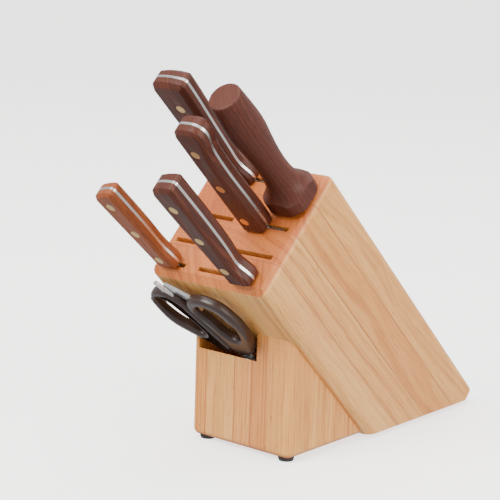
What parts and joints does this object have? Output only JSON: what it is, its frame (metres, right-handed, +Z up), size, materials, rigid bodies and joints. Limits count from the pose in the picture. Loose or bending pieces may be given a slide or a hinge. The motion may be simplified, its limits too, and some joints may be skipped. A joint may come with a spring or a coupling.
{
  "type": "knife block set",
  "caption": "Slanted laminated wood knife block on a front leg, holding riveted kitchen knives, a sharpening steel and kitchen shears that all pull out.",
  "frame": {"origin": "centre of the rest face, midway between the two sides and midway between the front-most and rear-most points, on the plane that the feet stand on", "axes": "+Z up, -Y towards the front where the handles reach, +X to the right when seen from the front"},
  "size_m": [0.1136, 0.3572, 0.2855],
  "materials": {
    "block_wood": "satin lacquered maple-like hardwood, grain along the slope",
    "spacer_wood": "satin lacquered hardwood, a darker stave",
    "dowel_wood": "raw turned hardwood",
    "walnut": "oiled walnut",
    "rivet_brass": "polished flush",
    "blade_steel": "finely ground",
    "screw_steel": "zinc plated",
    "foot_rubber": "matte",
    "shears_plastic": "soft sheen moulded"
  },
  "bodies": {
    "block": {"back_board": "block_wood", "foot_front_left": "foot_rubber", "foot_front_right": "foot_rubber", "foot_rear_left": "foot_rubber", "foot_rear_right": "foot_rubber", "foot_screws": "screw_steel", "front_board": "block_wood", "front_spacers": "spacer_wood", "leg_dowels": "dowel_wood", "leg_front_stave": "block_wood", "leg_middle_stave": "spacer_wood", "leg_rear_stave": "block_wood", "middle_board": "block_wood", "middle_spacers": "spacer_wood", "rear_spacers": "spacer_wood", "second_board": "block_wood", "second_spacers": "spacer_wood", "steel_board": "block_wood"},
    "paring": {"paring_blade": "blade_steel", "paring_front_scale": "walnut", "paring_rear_scale": "walnut", "paring_rivets": "rivet_brass"},
    "utility": {"utility_blade": "blade_steel", "utility_front_scale": "walnut", "utility_rear_scale": "walnut", "utility_rivets": "rivet_brass"},
    "slicer": {"slicer_blade": "blade_steel", "slicer_front_scale": "walnut", "slicer_rear_scale": "walnut", "slicer_rivets": "rivet_brass"},
    "chef": {"chef_blade": "blade_steel", "chef_front_scale": "walnut", "chef_rear_scale": "walnut", "chef_rivets": "rivet_brass"},
    "steel": {"steel_rod": "blade_steel", "steel_collar": "blade_steel", "steel_handle": "walnut"},
    "shears_left": {"shears_left_blade": "blade_steel", "shears_left_handle": "shears_plastic", "shears_pivot": "blade_steel", "shears_nut": "blade_steel"},
    "shears_right": {"shears_right_blade": "blade_steel", "shears_right_handle": "shears_plastic"}
  },
  "joints": [
    {"name": "paring_slide", "type": "slide", "parent": "block", "child": "paring", "axis": [-0.1045, -0.7118, 0.6946], "range_m": [0, 0.12]},
    {"name": "utility_slide", "type": "slide", "parent": "block", "child": "utility", "axis": [-0.0523, -0.7147, 0.6975], "range_m": [0, 0.16]},
    {"name": "slicer_slide", "type": "slide", "parent": "block", "child": "slicer", "axis": [0, -0.7157, 0.6984], "range_m": [0, 0.23]},
    {"name": "chef_slide", "type": "slide", "parent": "block", "child": "chef", "axis": [0, -0.7157, 0.6984], "range_m": [0, 0.235]},
    {"name": "steel_slide", "type": "slide", "parent": "block", "child": "steel", "axis": [0, -0.7157, 0.6984], "range_m": [0, 0.24]},
    {"name": "shears_slide", "type": "slide", "parent": "block", "child": "shears_left", "axis": [-0.1219, -0.7104, 0.6932], "range_m": [0, 0.2]},
    {"name": "shears_open", "type": "hinge", "parent": "shears_left", "child": "shears_right", "pos_m": [-0.00221, -0.04149, 0.06592], "axis": [0, 0.6984, 0.7157], "range_deg": [0, 35]}
  ],
  "couplings": [
    {"joint": "shears_open", "follows": "shears_slide", "rad_per_m": 3.05}
  ]
}
